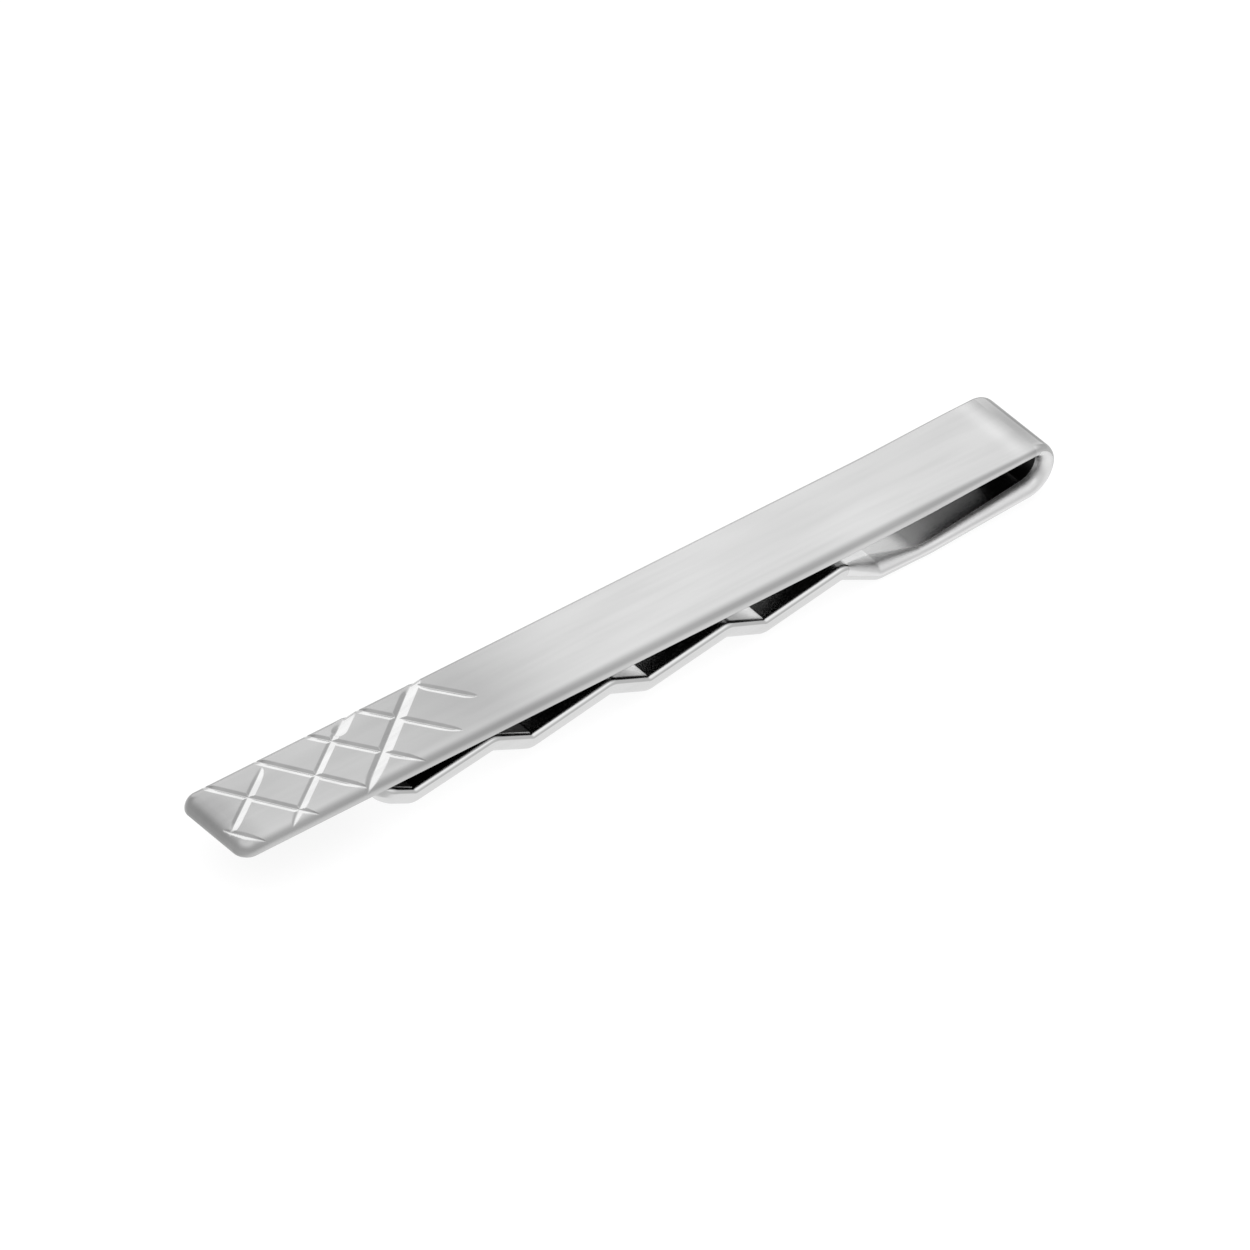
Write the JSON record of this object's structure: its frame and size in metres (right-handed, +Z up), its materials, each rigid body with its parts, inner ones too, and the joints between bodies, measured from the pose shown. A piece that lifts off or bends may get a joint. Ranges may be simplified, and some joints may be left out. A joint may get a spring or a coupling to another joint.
{
  "type": "tie pin",
  "caption": "Slim tie pin in clip form: a flat bar with a cut diamond pattern, folded back at its end into a zigzag spring leg that grips the tie and shirt.",
  "frame": {"origin": "on the surface that the clip lies on, under the middle of its box", "axes": "+X along the bar from its free end to the fold, -Y towards the near edge, +Z up, out of the bar's face"},
  "size_m": [0.06, 0.0064, 0.0042],
  "materials": {
    "brushed_steel": "satin, brushed along the bar, with bright diamond-cut grooves",
    "polished_steel": "polished"
  },
  "bodies": {
    "front": {"front_bar": "brushed_steel", "spring_fold": "polished_steel"},
    "leg": {"grip_leg": "polished_steel"}
  },
  "joints": [
    {"name": "fold_hinge", "type": "hinge", "parent": "front", "child": "leg", "pos_m": [0.02785, 0, 0.00273], "axis": [0, -1, 0], "range_deg": [0, 5], "stiffness_Nm_per_rad": 2.6, "deforming": ["spring_fold"]}
  ]
}
